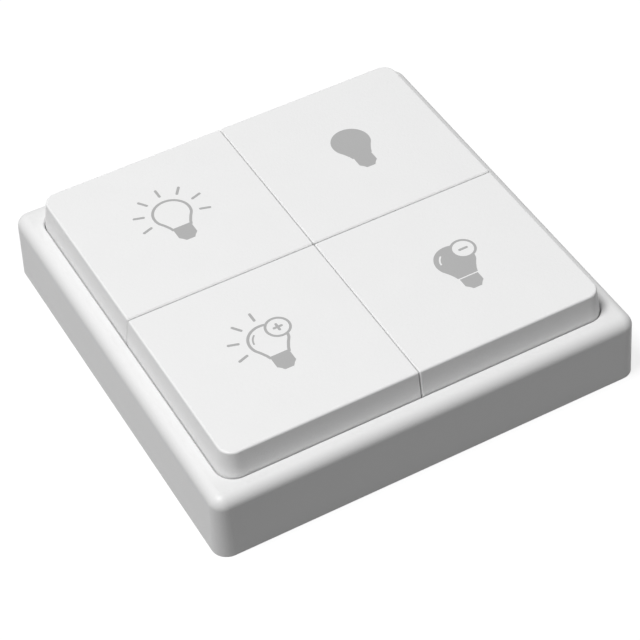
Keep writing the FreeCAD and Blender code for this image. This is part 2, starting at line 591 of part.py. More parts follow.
def build_key_carrier():
    body = new_body("key_carrier")
    outline = new_sketch(body, "carrier_outline", BOARD_TOP)
    draw_rounded_square(outline, CARRIER_HALF, f"({OPENING_CORNER} - Dims.carrier_inset)")
    pad(outline, "Dims.carrier_thickness")
    # Ears in pairs on both sides of the row seam, mirrored over the column seam.
    ears = [INNER_EAR, OUTER_EAR, f"-({INNER_EAR} + Dims.ear_thickness)",
            f"-({OUTER_EAR} + Dims.ear_thickness)"]
    for number, face in enumerate(ears):
        ear = new_sketch(body, f"carrier_ear_{number}", face, "YZ_Plane")
        for sign in ("", "-"):
            draw_hinge_tab(ear, f"{sign}Dims.hinge_offset", BOARD_TOP, f"{HINGE_Z} + Dims.lug_reach")
        pad(ear, "Dims.ear_thickness")
    bores = new_sketch(body, "carrier_hinge_bores", f"-{CARRIER_HALF}", "YZ_Plane")
    for sign in ("", "-"):
        draw_circle(bores, f"{sign}Dims.hinge_offset", HINGE_Z, "Dims.pin_radius + Dims.pin_play")
    pocket(bores, f"2 * {CARRIER_HALF}")

    windows = new_sketch(body, "carrier_windows", BOARD_TOP)
    side = "(Dims.tact_size / 2 + Dims.window_gap)"
    for sign_x, sign_y in CORNERS:
        draw_box(windows, f"{sign_x}Dims.tact_x - {side}", f"{sign_x}Dims.tact_x + {side}",
                 f"{sign_y}{TACT_Y} - {side}", f"{sign_y}{TACT_Y} + {side}")
    pocket(windows, "Dims.carrier_thickness")

    slots = new_sketch(body, "carrier_hook_slots", BOARD_TOP)
    half = "(Dims.hook_width / 2 + Dims.hook_play)"
    for sign_x, sign_y in CORNERS:
        for _, middle in HOOKS:
            draw_box(slots, f"{sign_x}{middle} - {half}", f"{sign_x}{middle} + {half}",
                     f"{sign_y}({HOOK_IN} - Dims.hook_play)", f"{sign_y}({HOOK_OUT} + Dims.hook_play)")
    pocket(slots, "Dims.carrier_thickness")

    holes = new_sketch(body, "carrier_screw_holes", BOARD_TOP)
    for sign_x, sign_y in CORNERS:
        draw_circle(holes, sign_x + POST_AT, sign_y + POST_AT, "Dims.shank_radius + Dims.slip_gap")
    pocket(holes, "Dims.carrier_thickness")


def on_seam(edge, level):
    """True for an edge that lies in one of a key's two seam faces."""
    box = edge.BoundBox
    return abs(box.XMax - level) < NEAR or abs(box.YMax - level) < NEAR


def build_keys():
    """One key is modelled in the quadrant of positive X and Y; the other three mirror it."""
    body = new_body("key_off")
    skirt = new_sketch(body, "key_skirt_outline", SKIRT_LOW)
    draw_rounded_square(skirt, KEY_HALF, "Dims.key_corner")
    pad(skirt, "Dims.key_skirt")
    crown = new_sketch(body, "key_crown_outline", FRAME_TOP)
    draw_rounded_square(crown, KEY_HALF, "Dims.key_corner")
    pad(crown, "Dims.key_rise", taper="-Dims.key_draft")

    # The block is trimmed at the two seams to one quarter.
    far = f"({KEY_HALF} + Dims.frame_gap)"
    seam = "(Dims.key_gap / 2)"
    trim = new_sketch(body, "key_seams", SKIRT_LOW)
    draw_polygon(trim, [(f"-{far}", f"-{far}"), (far, f"-{far}"), (far, seam), (seam, seam),
                        (seam, far), (f"-{far}", far)])
    pocket(trim, f"{KEY_TOP} - {SKIRT_LOW}")

    quarter = body.Tip
    shell = body.newObject("PartDesign::Thickness", "key_shell")
    low = amount(SKIRT_LOW)
    mouth = [f"Face{index}" for index, face in enumerate(quarter.Shape.Faces, start=1)
             if lies_at(face, low)]
    shell.Base = (quarter, mouth)
    shell.setExpression("Value", "Dims.key_wall")
    shell.Reversed = True
    shell.Join = "Intersection"
    doc.recompute()

    top, seam_at = amount(KEY_TOP), amount(seam)
    fillet(body, "key_rim_round", "Dims.key_round",
           lambda edge: lies_at(edge, top) and not on_seam(edge, seam_at))
    bevel(body, "key_seam_break", "Dims.seam_break",
          lambda edge: on_seam(edge, seam_at) and not lies_at(edge, low))

    # Ribs, presser, lugs and hooks are rooted in the middle of the top's wall.
    root = f"({CEILING} + Dims.key_wall / 2)"

    # Presser over the switch plunger, on two crossing ribs.
    ribs_low = f"({CEILING} - Dims.rib_depth)"
    half_rib = "Dims.rib_thickness / 2"
    wall_in = "(Dims.key_gap / 2 + Dims.key_wall / 2)"
    wall_out = f"({KEY_HALF} - Dims.key_wall - Dims.key_rise * tan(Dims.key_draft))"
    for name, left, right, near, away in (
            ("key_rib_across", wall_in, wall_out, f"{TACT_Y} - {half_rib}", f"{TACT_Y} + {half_rib}"),
            ("key_rib_along", f"Dims.tact_x - {half_rib}", f"Dims.tact_x + {half_rib}", wall_in, wall_out)):
        rib = new_sketch(body, name, ribs_low)
        draw_box(rib, left, right, near, away)
        pad(rib, f"{root} - {ribs_low}")
    presser_low = f"({STEM_TOP} + Dims.press_gap)"
    presser = new_sketch(body, "key_presser", presser_low)
    half = "Dims.presser_size / 2"
    draw_box(presser, f"Dims.tact_x - {half}", f"Dims.tact_x + {half}", f"{TACT_Y} - {half}",
             f"{TACT_Y} + {half}")
    pad(presser, f"{root} - {presser_low}")

    # Two lugs with their hinge pins, which point at each other.
    for name, (face, _) in (("inner", INNER_LUG), ("outer", OUTER_LUG)):
        lug = new_sketch(body, f"key_lug_{name}", face, "YZ_Plane")
        draw_hinge_tab(lug, "Dims.hinge_offset", root, f"{HINGE_Z} - Dims.lug_reach")
        pad(lug, "Dims.lug_thickness")
    for name, face, outwards in (("inner", INNER_LUG[1], True), ("outer", OUTER_LUG[0], False)):
        pin = new_sketch(body, f"key_pin_{name}", face, "YZ_Plane")
        draw_circle(pin, "Dims.hinge_offset", HINGE_Z, "Dims.pin_radius")
        pad(pin, PIN_LENGTH, upwards=outwards)

    # Hooks through the carrier hold the key against the switch's spring.
    nose_top = f"({BOARD_TOP} - Dims.hook_gap)"
    nose_low = f"({nose_top} - Dims.hook_nose)"
    for name, middle in HOOKS:
        hook = new_sketch(body, f"key_hook_{name}", f"{middle} - Dims.hook_width / 2", "YZ_Plane")
        draw_polygon(hook, [(HOOK_IN, root), (HOOK_IN, nose_low), (HOOK_OUT, nose_low),
                            (f"{HOOK_OUT} + Dims.hook_reach", nose_top), (HOOK_OUT, nose_top),
                            (HOOK_OUT, root)])
        pad(hook, "Dims.hook_width")

    mirror_key("key_on", body, FreeCAD.Vector(1, 0, 0))
    mirror_key("key_dimmer", body, FreeCAD.Vector(0, 1, 0))
    mirror_key("key_brighter", parts["key_on"], FreeCAD.Vector(0, 1, 0))


def mirror_key(label, source, normal):
    mirror = doc.addObject("Part::Mirroring", label)
    mirror.Label = label
    mirror.Source = source
    mirror.Normal = normal
    parts[label] = mirror


def build_carrier_screws():
    """Four screws through carrier and board into the base's posts."""
    screws = []
    for number, (sign_x, sign_y) in enumerate(CORNERS):
        shank = doc.addObject("Part::Cylinder", f"screw_shank_{number}")
        shank.setExpression("Radius", "Dims.shank_radius")
        shank.setExpression("Height", f"{CARRIER_TOP} - {BOARD_LOW} + Dims.screw_bite")
        shank.setExpression("Placement.Base.z", f"{BOARD_LOW} - Dims.screw_bite")
        head = doc.addObject("Part::Prism", f"screw_head_{number}")
        head.Polygon = 6
        head.setExpression("Circumradius", "Dims.head_radius")
        head.setExpression("Height", "Dims.head_height")
        head.setExpression("Placement.Base.z", CARRIER_TOP)
        for piece in (shank, head):
            piece.setExpression("Placement.Base.x", sign_x + POST_AT)
            piece.setExpression("Placement.Base.y", sign_y + POST_AT)
        screw = doc.addObject("Part::Fuse", f"screw_{number}")
        screw.Base = shank
        screw.Tool = head
        screws.append(screw)
    group = doc.addObject("Part::Compound", "carrier_screws")
    group.Label = "carrier_screws"
    group.Links = screws
    parts["carrier_screws"] = group


def check_document():
    """Stops before anything is written if an object failed or a sub-part isn't sound."""
    for item in doc.Objects:
        if "Invalid" in item.State or "Error" in item.State:
            raise RuntimeError(f"{item.Label} failed: {item.State}")
    for label, part in parts.items():
        if part.Shape.isNull() or not part.Shape.isValid():
            raise RuntimeError(f"{label} has no valid shape")
        if part.Shape.Volume <= 0:
            raise RuntimeError(f"{label} is inside out")


build_wall_plate()
build_frame()
build_module_base()
build_circuit_board()
build_components()
build_battery()
build_push_switches()
build_key_carrier()
build_keys()
build_carrier_screws()
doc.recompute()
check_document()
os.makedirs("parts", exist_ok=True)
for label, part in parts.items():
    part.Shape.exportStep(f"parts/{label}.step")
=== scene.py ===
import json
import math

import bmesh
import bpy
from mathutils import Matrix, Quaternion, Vector


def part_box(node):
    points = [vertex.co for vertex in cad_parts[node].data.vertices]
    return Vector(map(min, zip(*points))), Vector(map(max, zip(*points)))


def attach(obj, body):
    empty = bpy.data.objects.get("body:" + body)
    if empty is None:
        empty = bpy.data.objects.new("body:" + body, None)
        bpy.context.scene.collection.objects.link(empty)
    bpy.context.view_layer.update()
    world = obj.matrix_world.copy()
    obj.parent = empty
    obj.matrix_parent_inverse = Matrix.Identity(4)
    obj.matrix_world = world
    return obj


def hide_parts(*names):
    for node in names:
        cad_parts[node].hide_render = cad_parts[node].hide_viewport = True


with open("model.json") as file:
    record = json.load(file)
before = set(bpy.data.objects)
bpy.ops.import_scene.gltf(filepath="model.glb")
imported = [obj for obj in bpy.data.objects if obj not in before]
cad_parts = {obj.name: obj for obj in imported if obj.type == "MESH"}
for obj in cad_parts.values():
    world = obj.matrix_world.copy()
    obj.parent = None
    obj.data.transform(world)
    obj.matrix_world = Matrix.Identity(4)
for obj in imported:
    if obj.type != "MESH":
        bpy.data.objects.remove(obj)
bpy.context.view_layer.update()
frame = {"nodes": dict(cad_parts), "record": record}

# A wireless wall switch: four white keys in a white frame, with grey printed pictograms.
# Lengths are metres; MM turns a size in millimetres into metres.
MM = 0.001
# Points closer than SPECK are one point. A point closer to a plane than IN_PLANE lies in it.
SPECK = 0.001 * MM
IN_PLANE = 0.0001 * MM
# Faces that meet at less than this angle, in degrees, are one flat face.
FLAT_ANGLE = 0.05

# Camera, fitted to the edges of the frame and the keys. Azimuth 0 looks along +Y.
CAMERA_AZIMUTH = -26.40
CAMERA_ELEVATION = 45.28
CAMERA_ROLL = -3.57
CAMERA_DISTANCE = 383.7 * MM
CAMERA_TARGET = Vector((-3.71, -8.05, 8.06)) * MM
CAMERA_LENS = 126.60
CAMERA_SENSOR = 36.0
CAMERA_NEAR = 10.0 * MM

# Studio light: an even sky, which shows whiter than it lights, and a softbox at the upper left.
SKY_COLOUR = "#FFFFFF"
SKY_LIGHT = 0.205
SKY_SHOWN = 1.0
SOFTBOX_TOWARDS = Vector((-0.30, 0.0, 0.75))
SOFTBOX_DISTANCE = 1.5
SOFTBOX_SIZE = 0.5
SOFTBOX_POWER = 18.9

# Floor paper, a hair below the flat back, so that the two never share a plane.
FLOOR_SIZE = 6.0
FLOOR_LEVEL = -0.02 * MM
# What the paper throws back on the switch, and what is seen of it: its shaded part and an even glow.
FLOOR_BOUNCE = "#646464"
FLOOR_SHADE = "#898989"
FLOOR_GLOW = 0.80

# Patterns that all plastics and all metals share.
FLOW_SIZE = 9.0 * MM
PLASTIC_GLOSS_SPREAD = 0.05
CLOUD_SIZE = 4.0 * MM
METAL_GLOSS_SPREAD = 0.08
# Drawn lines are squeezed to this share along their run.
DRAWN_SQUEEZE = 0.06

# Printed pictograms, in each key's own plane; up on the key is +Y. All sizes are about the bulb's middle.
# The four bulbs stand in a square, whose middle lies a little off the switch's own.
PRINT_HALF = 17.8 * MM
PRINT_MIDDLE = Vector((0.5, 1.75, 0.0)) * MM
INK_DEPTH = 0.02 * MM
INK_SUNK = 0.005 * MM
STROKE = 0.50 * MM
# The round of a bar's ends, as a share of its width; a half would leave no flat.
BAR_END = 0.48
BAR_END_SEGMENTS = 5

BULB_RADIUS = 3.62 * MM
BULB_SIDES = 96
# The glass is round down to the neck, which then narrows in these steps: (depth, half width).
NECK_START = 1.5 * MM
NECK = [(2.4 * MM, 2.72 * MM), (3.4 * MM, 2.2 * MM), (4.2 * MM, 1.92 * MM)]

# The cap starts a little above the neck's end, so that the two weld.
CAP_TOP = 4.1 * MM
CAP_HALF = 1.75 * MM
CAP_HEIGHT = 2.2 * MM
CAP_BEVEL = 0.55 * MM
CAP_TIP_HALF = 0.8 * MM
CAP_TIP = 0.55 * MM
# On the dimmer key a thin slit parts the solid glass from its cap.
SLIT_DEPTH = 4.35 * MM
SLIT_WIDTH = 0.26 * MM

# Light rays; 90 degrees is up on the key.
RAY_START = 4.75 * MM
RAY_END = 6.9 * MM
RAY_STEP = 36.0
RAYS_ALL = [90 + RAY_STEP * step for step in range(-3, 4)]
RAYS_LEFT = [90 + RAY_STEP * step for step in range(0, 4)]

# The reflection on the glass is an arc between two angles.
SHINE_RADIUS = 2.55 * MM
SHINE_WIDTH = 0.3 * MM
SHINE_FROM = 128.0
SHINE_TO = 178.0

# The round badge with a plus or a minus.
BADGE_OFFSET = Vector((2.65, 1.7, 0.0)) * MM
BADGE_RADIUS = 2.1 * MM
BADGE_STROKE = 0.45 * MM
BADGE_SIDES = 64
SIGN_LENGTH = 1.85 * MM
SIGN_STROKE = 0.48 * MM

# The keys: whether the bulb is lit, its rays and its badge.
PICTOGRAMS = [
    ("on", True, RAYS_ALL, None),
    ("off", False, [], None),
    ("brighter", True, RAYS_LEFT, "plus"),
    ("dimmer", False, [], "minus"),
]

# Stamped covers of the push switches, each held by four rivets.
COVER_INSET = 0.1 * MM
COVER_PLAY = 0.15 * MM
COVER_SHEET = 0.15 * MM
COVER_CORNER = 0.5 * MM
COVER_CORNER_SEGMENTS = 4
RIVET_RADIUS = 0.42 * MM
RIVET_SIDES = 20
RIVET_HEIGHT = 0.3 * MM
RIVET_ROUND = 0.1 * MM
RIVET_ROUND_SEGMENTS = 3
RIVET_AT = 2.3 * MM

# Gold contacts under the boards: rows round the chip and along the radio board, and its folded antenna.
CONTACT_HEIGHT = 0.05 * MM
CHIP_ROW = {"count": 10, "pitch": 0.5 * MM, "width": 0.28 * MM, "length": 0.5 * MM}
RADIO_ROW = {"count": 9, "pitch": 1.27 * MM, "width": 0.8 * MM, "length": 0.9 * MM}
ANTENNA_TRACE = 0.5 * MM
ANTENNA_RUNS = 7
ANTENNA_PITCH = 1.4 * MM
ANTENNA_HEIGHT = 4.2 * MM

# Coin cell: the sealing ring on the shelf round its cap, and the plus on its can.
CELL_CAP = 0.3 * MM
SEAL_OUTER = 9.5 * MM
SEAL_SIDES = 96
SEAL_WIDTH = 0.75 * MM
SEAL_HEIGHT = 0.2 * MM
CELL_PLUS_AT = Vector((0.0, -6.8, 0.0)) * MM
CELL_PLUS_LENGTH = 3.2 * MM
CELL_PLUS_STROKE = 0.5 * MM

# Carrier screws: chamfered hexagon head with a cross recess, and a coarse thread.
HEAD_RADIUS = 2.0 * MM
HEAD_SIDES = 6
# Turns a corner of the hexagon, which a new circle has at +Y, to the X axis.
HEAD_TURN = 30.0
HEAD_HEIGHT = 1.3 * MM
HEAD_BEVEL = 0.18 * MM
HEAD_BEVEL_SEGMENTS = 2
RECESS_LENGTH = 2.3 * MM
RECESS_WIDTH = 0.55 * MM
RECESS_DEPTH = 0.75 * MM
THREAD_CORE = 0.74 * MM
THREAD_CREST = 0.98 * MM
THREAD_PITCH = 0.75 * MM
THREAD_STEPS = 24
# One pitch from root to root: steps out, in shares of the ridge, and up, in shares of the pitch.
THREAD_OUTLINE = [(1, 0.3), (0, 0.1), (-1, 0.3), (0, 0.3)]
# The shank runs this far up into the head, below the recess, so that the two weld.
SHANK_SUNK = 0.3 * MM


def linear(hex_colour):
    """An sRGB hex colour as linear RGBA."""
    parts = [int(hex_colour[index:index + 2], 16) / 255 for index in (1, 3, 5)]
    return [part / 12.92 if part <= 0.04045 else ((part + 0.055) / 1.055) ** 2.4 for part in parts] + [1.0]


def add_node(owner, kind, settings=None, links=None):
    """A shader node of a material or a world, with its values and the sockets that feed it."""
    tree = owner.node_tree
    node = tree.nodes.new(kind)
    for name, value in (settings or {}).items():
        if name in node.inputs:
            node.inputs[name].default_value = value
        else:
            setattr(node, name, value)
    for name, source in (links or {}).items():
        tree.links.new(source, node.inputs[name])
    return node


def new_material(name):
    """A material with an empty node tree."""
    material = bpy.data.materials.new(name)
    material.use_nodes = True
    material.node_tree.nodes.clear()
    return material


def per_size(size):
    """The scale of a pattern whose features are this large."""
    return 1.0 / size


def moulded_plastic(name, colour, mottle, roughness, grain, grain_height, ior):
    """A moulded plastic: an even colour with faint flow mottling and the grain of the mould's wall."""
    material = new_material(name)
    place = add_node(material, "ShaderNodeTexCoord").outputs["Object"]
    flow = add_node(material, "ShaderNodeTexNoise", {"Scale": per_size(FLOW_SIZE), "Detail": 2.0},
                    {"Vector": place})
    tint = add_node(material, "ShaderNodeMix", {"data_type": "RGBA"}, {"Factor": flow.outputs["Fac"]})
    tint.inputs["A"].default_value = linear(colour)
    tint.inputs["B"].default_value = linear(mottle)
    grit = add_node(material, "ShaderNodeTexNoise", {"Scale": per_size(grain), "Detail": 3.0},
                    {"Vector": place})
    gloss = add_node(material, "ShaderNodeMapRange",
                     {"To Min": roughness - PLASTIC_GLOSS_SPREAD, "To Max": roughness + PLASTIC_GLOSS_SPREAD},
                     {"Value": grit.outputs["Fac"]})
    relief = add_node(material, "ShaderNodeBump", {"Strength": 1.0, "Distance": grain_height},
                      {"Height": grit.outputs["Fac"]})
    shader = add_node(material, "ShaderNodeBsdfPrincipled", {"IOR": ior},
                      {"Base Color": tint.outputs["Result"], "Roughness": gloss.outputs["Result"],
                       "Normal": relief.outputs["Normal"]})
    add_node(material, "ShaderNodeOutputMaterial", None, {"Surface": shader.outputs["BSDF"]})
    return material


def plated_metal(name, colour, stain, roughness, brush):
    """A plated metal: fine drawn lines along X and a faint cloudiness."""
    material = new_material(name)
    place = add_node(material, "ShaderNodeTexCoord").outputs["Object"]
    drawn = add_node(material, "ShaderNodeMapping", {"Scale": (DRAWN_SQUEEZE, 1.0, 1.0)}, {"Vector": place})
    lines = add_node(material, "ShaderNodeTexNoise", {"Scale": per_size(brush), "Detail": 4.0},
                     {"Vector": drawn.outputs["Vector"]})
    cloud = add_node(material, "ShaderNodeTexNoise", {"Scale": per_size(CLOUD_SIZE)}, {"Vector": place})
    tint = add_node(material, "ShaderNodeMix", {"data_type": "RGBA"}, {"Factor": cloud.outputs["Fac"]})
    tint.inputs["A"].default_value = linear(colour)
    tint.inputs["B"].default_value = linear(stain)
    gloss = add_node(material, "ShaderNodeMapRange",
                     {"To Min": roughness - METAL_GLOSS_SPREAD, "To Max": roughness + METAL_GLOSS_SPREAD},
                     {"Value": lines.outputs["Fac"]})
    shader = add_node(material, "ShaderNodeBsdfPrincipled", {"Metallic": 1.0},
                      {"Base Color": tint.outputs["Result"], "Roughness": gloss.outputs["Result"]})
    add_node(material, "ShaderNodeOutputMaterial", None, {"Surface": shader.outputs["BSDF"]})
    return material


def looked_at(owner):
    """Is 1 where a floor or sky is seen, directly, in a reflection or through glass, and else 0."""
    links = owner.node_tree.links
    path = add_node(owner, "ShaderNodeLightPath")
    seen = add_node(owner, "ShaderNodeMath", {"operation": "MAXIMUM"})
    links.new(path.outputs["Is Camera Ray"], seen.inputs[0])
    links.new(path.outputs["Is Glossy Ray"], seen.inputs[1])
    either = add_node(owner, "ShaderNodeMath", {"operation": "MAXIMUM"})
    links.new(seen.outputs["Value"], either.inputs[0])
    links.new(path.outputs["Is Transmission Ray"], either.inputs[1])
    return either.outputs["Value"]


def floor_paper():
    """White studio paper: it reads white, keeps a faint shadow and throws little light back."""
    material = new_material("studio_paper")
    links = material.node_tree.links
    bounce = add_node(material, "ShaderNodeBsdfDiffuse", {"Color": linear(FLOOR_BOUNCE)})
    shade = add_node(material, "ShaderNodeBsdfDiffuse", {"Color": linear(FLOOR_SHADE)})
    glow = add_node(material, "ShaderNodeEmission", {"Strength": FLOOR_GLOW})
    white = add_node(material, "ShaderNodeAddShader")
    links.new(shade.outputs["BSDF"], white.inputs[0])
    links.new(glow.outputs["Emission"], white.inputs[1])
    choice = add_node(material, "ShaderNodeMixShader", None, {"Fac": looked_at(material)})
    links.new(bounce.outputs["BSDF"], choice.inputs[1])
    links.new(white.outputs["Shader"], choice.inputs[2])
    add_node(material, "ShaderNodeOutputMaterial", None, {"Surface": choice.outputs["Shader"]})
    return material


# Finishes of the record's slots. Real mould grain is about 0.05 mm wide and 0.003 mm high; it is drawn
# coarser and higher, so that it shows from close by.
FINISHES = {
    # White ABS with a satin mould finish: soft broad highlights on the frame's rounds.
    "frame_abs": moulded_plastic("white_abs_satin", "#E8E8E8", "#E5E5E5", roughness=0.45,
                                 grain=0.35 * MM, grain_height=0.018 * MM, ior=1.54),
    # White ABS from a finely eroded mould: the keys look even and nearly matt.
    "key_abs": moulded_plastic("white_abs_matt", "#EFEFEF", "#ECECEC", roughness=0.48,
                               grain=0.35 * MM, grain_height=0.030 * MM, ior=1.54),
    # Natural ABS of the hidden mouldings: a touch creamier and plainer.
    "module_abs": moulded_plastic("natural_abs", "#E4E3DE", "#DEDDD7", roughness=0.5,
                                  grain=0.5 * MM, grain_height=0.030 * MM, ior=1.54),
    # Glass-cloth laminate under green solder resist: glossy, with the cloth's faint unevenness.
    "board_laminate": moulded_plastic("solder_resist_laminate", "#1C6B45", "#165A39", roughness=0.3,
                                      grain=0.5 * MM, grain_height=0.012 * MM, ior=1.55),
    # Tinned steel sheet: bright, slightly cloudy.
    "tinned_steel": plated_metal("tinned_steel", "#D6D7D6", "#C6C8C8", roughness=0.32, brush=0.1 * MM),
    # Nickel-plated cell can: fine drawn lines.
    "cell_steel": plated_metal("nickel_plated_steel", "#CFCFCB", "#C2C2BE", roughness=0.26, brush=0.08 * MM),
    # Nickel-plated bronze strip: warmer than the can.
    "spring_contact": plated_metal("nickel_plated_bronze", "#D2C9A8", "#C4B992", roughness=0.28,
                                   brush=0.08 * MM),
    # Black moulding compound: dull and even.
    "black_moulding": moulded_plastic("black_epoxy_moulding", "#2A2A2B", "#232324", roughness=0.6,
                                      grain=0.3 * MM, grain_height=0.010 * MM, ior=1.55),
    # Dark acetal stems: waxy sheen.
    "stem_plastic": moulded_plastic("dark_acetal", "#5A5A5C", "#525254", roughness=0.4,
                                    grain=0.4 * MM, grain_height=0.006 * MM, ior=1.48),
    # Zinc-plated screws: bluish, with a soft shine.
    "screw_steel": plated_metal("zinc_plated_steel", "#C3C6CC", "#B4B7BD", roughness=0.35, brush=0.12 * MM),
}
# Pad-printing ink: flat grey, a film so thin that the key's grain shows through it.
INK = moulded_plastic("grey_pad_ink", "#ACACAC", "#B0B0B0", roughness=0.55,
                      grain=0.35 * MM, grain_height=0.024 * MM, ior=1.5)
# Gold over copper: a warm, bright, thin plating on the contacts.
GOLD = plated_metal("gold_plated_copper", "#DDB96F", "#CFA75A", roughness=0.3, brush=0.08 * MM)
# Nylon sealing ring: dark grey and waxy.
SEAL = moulded_plastic("grey_nylon", "#4A4B4D", "#444547", roughness=0.45,
                       grain=0.4 * MM, grain_height=0.006 * MM, ior=1.53)


def dress_cad_nodes():
    """Every CAD node takes the finish of its slot."""
    for subpart in frame["record"]["subparts"]:
        finish = FINISHES[subpart["material_slot"]]
        for slot in frame["nodes"][subpart["node"]].material_slots:
            slot.material = finish


def only(piece):
    """Makes a piece the one that is selected and active."""
    bpy.ops.object.select_all(action="DESELECT")
    piece.select_set(True)
    bpy.context.view_layer.objects.active = piece


def open_mesh(piece, kind):
    """Puts a piece in edit mode with all of its points, edges or faces selected."""
    only(piece)
    bpy.ops.object.mode_set(mode="EDIT")
    bpy.ops.mesh.select_mode(type=kind)
    bpy.ops.mesh.select_all(action="SELECT")


def close_mesh():
    """Leaves edit mode."""
    bpy.ops.object.mode_set(mode="OBJECT")


def select_edges(piece, wanted):
    """In edit mode, selects only the edges that the test picks by their two ends."""
    bpy.ops.mesh.select_mode(type="EDGE")
    bpy.ops.mesh.select_all(action="DESELECT")
    mesh = bmesh.from_edit_mesh(piece.data)
    for edge in mesh.edges:
        if wanted(*[vertex.co for vertex in edge.verts]):
            edge.select_set(True)
    bmesh.update_edit_mesh(piece.data)


def lying_at(axis, level):
    """A test for edges that lie at one level along an axis."""
    return lambda a, b: all(abs(getattr(end, axis) - level) < IN_PLANE for end in (a, b))


def upright_at(half):
    """A test for upright edges on the two sides of a plate that is this wide to each side."""
    return lambda a, b: abs(a.x - b.x) + abs(a.y - b.y) < IN_PLANE and abs(a.x) > half - IN_PLANE


def move(piece, offset):
    """Moves a piece's mesh."""
    only(piece)
    bpy.ops.transform.translate(value=offset)
    bpy.ops.object.transform_apply(location=True, rotation=False, scale=False)
    return piece


def turn(piece, degrees):
    """Turns a piece's mesh about the Z axis, anticlockwise seen from the front."""
    only(piece)
    piece.rotation_euler.z = math.radians(degrees)
    bpy.ops.object.transform_apply(location=False, rotation=True, scale=False)
    return piece


def copied(piece):
    """A copy of a piece with its own mesh."""
    only(piece)
    bpy.ops.object.duplicate(linked=False)
    return bpy.context.active_object


def joined(pieces):
    """Makes several pieces one object, without welding them."""
    only(pieces[0])
    for piece in pieces[1:]:
        piece.select_set(True)
    if pieces[1:]:
        bpy.ops.object.join()
    return pieces[0]


def thicken(piece, low, high):
    """Extrudes a flat shape at height 0 into a solid from low to high."""
    open_mesh(piece, "FACE")
    bpy.ops.transform.translate(value=(0, 0, low))
    bpy.ops.mesh.extrude_region_move(TRANSFORM_OT_translate={"value": (0, 0, high - low)})
    bpy.ops.mesh.select_all(action="SELECT")
    bpy.ops.mesh.normals_make_consistent(inside=False)
    close_mesh()
    return piece


def ink(piece):
    """Makes a flat shape a film of ink, a little sunk so that it never floats."""
    return thicken(piece, -INK_SUNK, INK_DEPTH)


def cutter(piece):
    """Makes a flat shape a tool that cuts right through the ink."""
    return thicken(piece, -INK_DEPTH, 2 * INK_DEPTH)


def carve(piece, tool, operation):
    """Cuts a tool out of a piece or welds it on, removes the tool and clears up what the cut leaves."""
    only(piece)
    carving = piece.modifiers.new("carve", "BOOLEAN")
    carving.operation = operation
    carving.solver = "EXACT"
    carving.object = tool
    bpy.ops.object.modifier_apply(modifier=carving.name)
    bpy.data.objects.remove(tool)
    open_mesh(piece, "VERT")
    bpy.ops.mesh.remove_doubles(threshold=SPECK)
    bpy.ops.mesh.dissolve_degenerate(threshold=SPECK)
    bpy.ops.mesh.dissolve_limited(angle_limit=math.radians(FLAT_ANGLE))
    close_mesh()
    return piece


def outline(piece, stroke):
    """Leaves only a rim of a flat shape, one stroke wide."""
    open_mesh(piece, "FACE")
    bpy.ops.mesh.inset(thickness=stroke, use_even_offset=True)
    bpy.ops.mesh.delete(type="FACE")
    close_mesh()
    return piece


def break_edges(piece, size, segments, wanted):
    """Rounds the edges that the test picks."""
    open_mesh(piece, "EDGE")
    select_edges(piece, wanted)
    bpy.ops.mesh.bevel(offset=size, segments=segments)
    close_mesh()
    return piece


def draw_out(piece, depth, next_depth, factor):
    """In edit mode, extrudes the lowest edge of a flat shape downwards and makes it narrower or wider."""
    select_edges(piece, lying_at("y", -depth))
    bpy.ops.mesh.extrude_edges_move(TRANSFORM_OT_translate={"value": (0, depth - next_depth, 0)})
    bpy.ops.transform.resize(value=(factor, 1, 1), center_override=(0, -next_depth, 0))


def make_one_face():
    """In edit mode, makes all faces of a flat shape one."""
    bpy.ops.mesh.select_mode(type="FACE")
    bpy.ops.mesh.select_all(action="SELECT")
    bpy.ops.mesh.dissolve_faces()


def plate_shape(width, length):
    """A flat rectangle about the origin."""
    bpy.ops.object.select_all(action="DESELECT")
    bpy.ops.mesh.primitive_plane_add(size=1)
    plate = bpy.context.active_object
    open_mesh(plate, "FACE")
    bpy.ops.transform.resize(value=(width, length, 1), center_override=(0, 0, 0))
    close_mesh()
    return plate


def disc_shape(radius, sides):
    """A flat disc about the origin."""
    bpy.ops.object.select_all(action="DESELECT")
    bpy.ops.mesh.primitive_circle_add(vertices=sides, radius=radius, fill_type="NGON")
    return bpy.context.active_object


def bar_shape(length, width):
    """A flat bar along Y with round ends, about the origin."""
    bar = plate_shape(width, length)
    open_mesh(bar, "VERT")
    bpy.ops.mesh.bevel(affect="VERTICES", offset=BAR_END * width, segments=BAR_END_SEGMENTS)
    close_mesh()
    return bar


def bulb_shape():
    """The silhouette of the glass: a disc that is cut off and drawn out into a neck."""
    glass = disc_shape(BULB_RADIUS, BULB_SIDES)
    open_mesh(glass, "FACE")
    bpy.ops.mesh.bisect(plane_co=(0, -NECK_START, 0), plane_no=(0, 1, 0), clear_inner=True,
                        threshold=IN_PLANE)
    depth = NECK_START
    half = math.sqrt(BULB_RADIUS ** 2 - NECK_START ** 2)
    for next_depth, next_half in NECK:
        draw_out(glass, depth, next_depth, next_half / half)
        depth, half = next_depth, next_half
    make_one_face()
    close_mesh()
    return glass


def cap_shape():
    """The screw cap under the glass: a block with bevelled lower corners and a tip."""
    cap = move(plate_shape(2 * CAP_HALF, CAP_HEIGHT), (0, -CAP_TOP - CAP_HEIGHT / 2, 0))
    open_mesh(cap, "EDGE")
    low = CAP_TOP + CAP_HEIGHT
    draw_out(cap, low, low + CAP_BEVEL, 1 - CAP_BEVEL / CAP_HALF)
    low += CAP_BEVEL
    draw_out(cap, low, low + CAP_TIP, CAP_TIP_HALF / (CAP_HALF - CAP_BEVEL))
    make_one_face()
    close_mesh()
    return cap


